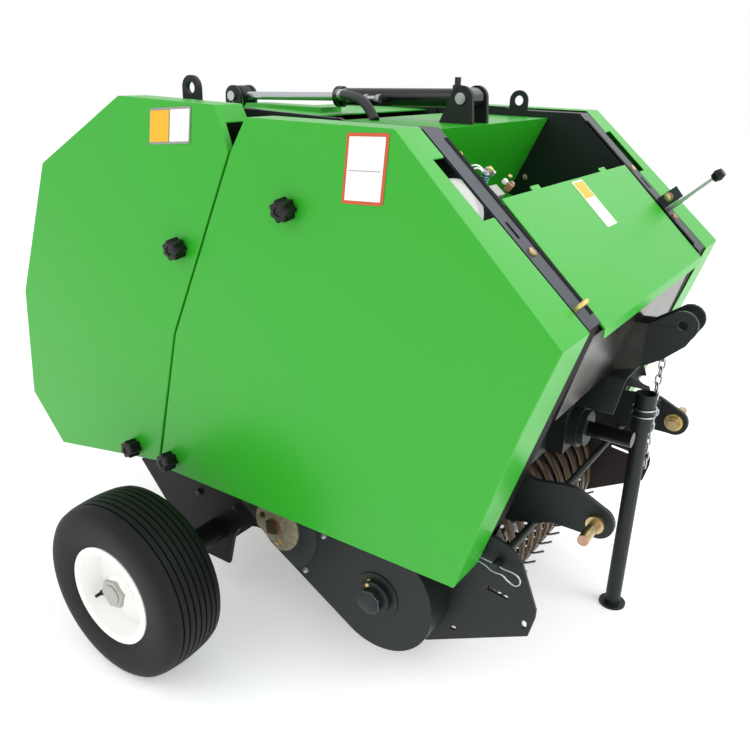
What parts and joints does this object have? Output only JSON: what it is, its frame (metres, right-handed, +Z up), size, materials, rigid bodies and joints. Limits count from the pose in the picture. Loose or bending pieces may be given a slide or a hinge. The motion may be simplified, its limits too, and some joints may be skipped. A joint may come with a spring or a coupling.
{
  "type": "round baler",
  "caption": "Mini round baler for a compact tractor: bale chamber with ribbed rollers, hinged tailgate on a hydraulic cylinder, tined pick-up, twine box with lid, wheels and a parking stand.",
  "frame": {"origin": "on the ground under the middle of the machine's box", "axes": "+X forward to the tractor along the input shaft, +Y to the machine's left, +Z up"},
  "size_m": [1.537, 1.556, 1.264],
  "materials": {
    "green_paint": "gloss",
    "dark_paint": "satin",
    "tyre": "matte",
    "rim_white": "gloss",
    "black_plastic": "satin",
    "zinc": "satin",
    "bright_steel": "satin",
    "roller_steel": "satin",
    "hose_rubber": "matte",
    "white_plastic": "gloss"
  },
  "bodies": {
    "frame": {"axle_beam": "dark_paint", "chain_guard": "dark_paint", "cover_knobs": "black_plastic", "cylinder_clevis": "dark_paint", "drive_hood": "dark_paint", "front_cover_left": "green_paint", "front_cover_right": "green_paint", "gearbox": "dark_paint", "hand_lever": "bright_steel", "hitch_frame": "dark_paint", "hitch_pins": "zinc", "lid_rod": "bright_steel", "mast": "dark_paint", "pickup_frame": "dark_paint", "side_plate_left": "dark_paint", "side_plate_right": "dark_paint", "strippers": "dark_paint", "top_sheet": "green_paint", "twine_unit": "white_plastic"},
    "gate": {"gate_cover_left": "green_paint", "gate_cover_right": "green_paint", "gate_knobs": "black_plastic", "gate_plate_left": "dark_paint", "gate_plate_right": "dark_paint", "gate_sheet": "green_paint"},
    "cylinder_barrel": {"cylinder_barrel": "dark_paint", "hydraulic_hose": "hose_rubber"},
    "cylinder_rod": {"cylinder_rod": "bright_steel"},
    "lid": {"lid": "green_paint"},
    "wheel_left": {"tyre_left": "tyre", "rim_left": "rim_white"},
    "wheel_right": {"tyre_right": "tyre", "rim_right": "rim_white"},
    "stand": {"stand_leg": "dark_paint"},
    "pickup_reel": {"pickup_reel": "dark_paint"},
    "input_shaft": {"input_shaft": "bright_steel"},
    "front_roller_1": {"front_roller_1": "roller_steel"},
    "front_roller_2": {"front_roller_2": "roller_steel"},
    "front_roller_3": {"front_roller_3": "roller_steel"},
    "front_roller_4": {"front_roller_4": "roller_steel"},
    "gate_roller_1": {"gate_roller_1": "roller_steel"},
    "gate_roller_2": {"gate_roller_2": "roller_steel"},
    "gate_roller_3": {"gate_roller_3": "roller_steel"},
    "gate_roller_4": {"gate_roller_4": "roller_steel"},
    "gate_roller_5": {"gate_roller_5": "roller_steel"}
  },
  "joints": [
    {"name": "gate_hinge", "type": "hinge", "parent": "frame", "child": "gate", "pos_m": [0.122, 0, 1.165], "axis": [0, 1, 0], "range_deg": [0, 55]},
    {"name": "cylinder_swing", "type": "hinge", "parent": "frame", "child": "cylinder_barrel", "pos_m": [0.207, 0, 1.222], "axis": [0, 1, 0], "range_deg": [0, 50]},
    {"name": "cylinder_stroke", "type": "slide", "parent": "cylinder_barrel", "child": "cylinder_rod", "axis": [-0.9995, 0, -0.0326], "range_m": [-0.08, 0]},
    {"name": "lid_hinge", "type": "hinge", "parent": "frame", "child": "lid", "pos_m": [0.46171, 0, 1.05704], "axis": [0, -1, 0], "range_deg": [0, 120]},
    {"name": "left_wheel_spin", "type": "hinge", "parent": "frame", "child": "wheel_left", "pos_m": [-0.182, 0.703, 0.2075], "axis": [0, 1, 0], "continuous": true},
    {"name": "right_wheel_spin", "type": "hinge", "parent": "frame", "child": "wheel_right", "pos_m": [-0.182, -0.703, 0.2075], "axis": [0, 1, 0], "continuous": true},
    {"name": "reel_spin", "type": "hinge", "parent": "frame", "child": "pickup_reel", "pos_m": [0.306, 0, 0.241], "axis": [0, 1, 0], "continuous": true},
    {"name": "input_spin", "type": "hinge", "parent": "frame", "child": "input_shaft", "pos_m": [0.6, 0, 0.528], "axis": [1, 0, 0], "continuous": true},
    {"name": "stand_slide", "type": "slide", "parent": "frame", "child": "stand", "axis": [0, 0, 1], "range_m": [0, 0.15]},
    {"name": "front_roller_1_spin", "type": "hinge", "parent": "frame", "child": "front_roller_1", "pos_m": [0.02435, 0, 0.96809], "axis": [0, 1, 0], "continuous": true},
    {"name": "front_roller_2_spin", "type": "hinge", "parent": "frame", "child": "front_roller_2", "pos_m": [0.09554, 0, 0.77769], "axis": [0, 1, 0], "continuous": true},
    {"name": "front_roller_3_spin", "type": "hinge", "parent": "frame", "child": "front_roller_3", "pos_m": [0.04464, 0, 0.58089], "axis": [0, 1, 0], "continuous": true},
    {"name": "front_roller_4_spin", "type": "hinge", "parent": "frame", "child": "front_roller_4", "pos_m": [-0.18331, 0, 0.42713], "axis": [0, 1, 0], "continuous": true},
    {"name": "gate_roller_1_spin", "type": "hinge", "parent": "gate", "child": "gate_roller_1", "pos_m": [-0.16023, 0, 1.08796], "axis": [0, 1, 0], "continuous": true},
    {"name": "gate_roller_2_spin", "type": "hinge", "parent": "gate", "child": "gate_roller_2", "pos_m": [-0.37948, 0, 1.06878], "axis": [0, 1, 0], "continuous": true},
    {"name": "gate_roller_3_spin", "type": "hinge", "parent": "gate", "child": "gate_roller_3", "pos_m": [-0.54044, 0, 0.91868], "axis": [0, 1, 0], "continuous": true},
    {"name": "gate_roller_4_spin", "type": "hinge", "parent": "gate", "child": "gate_roller_4", "pos_m": [-0.57487, 0, 0.70131], "axis": [0, 1, 0], "continuous": true},
    {"name": "gate_roller_5_spin", "type": "hinge", "parent": "gate", "child": "gate_roller_5", "pos_m": [-0.46817, 0, 0.50882], "axis": [0, 1, 0], "continuous": true}
  ],
  "couplings": [
    {"joint": "cylinder_swing", "follows": "gate_hinge", "ratio": 0.90685},
    {"joint": "cylinder_stroke", "follows": "gate_hinge", "m_per_rad": -0.078292}
  ]
}
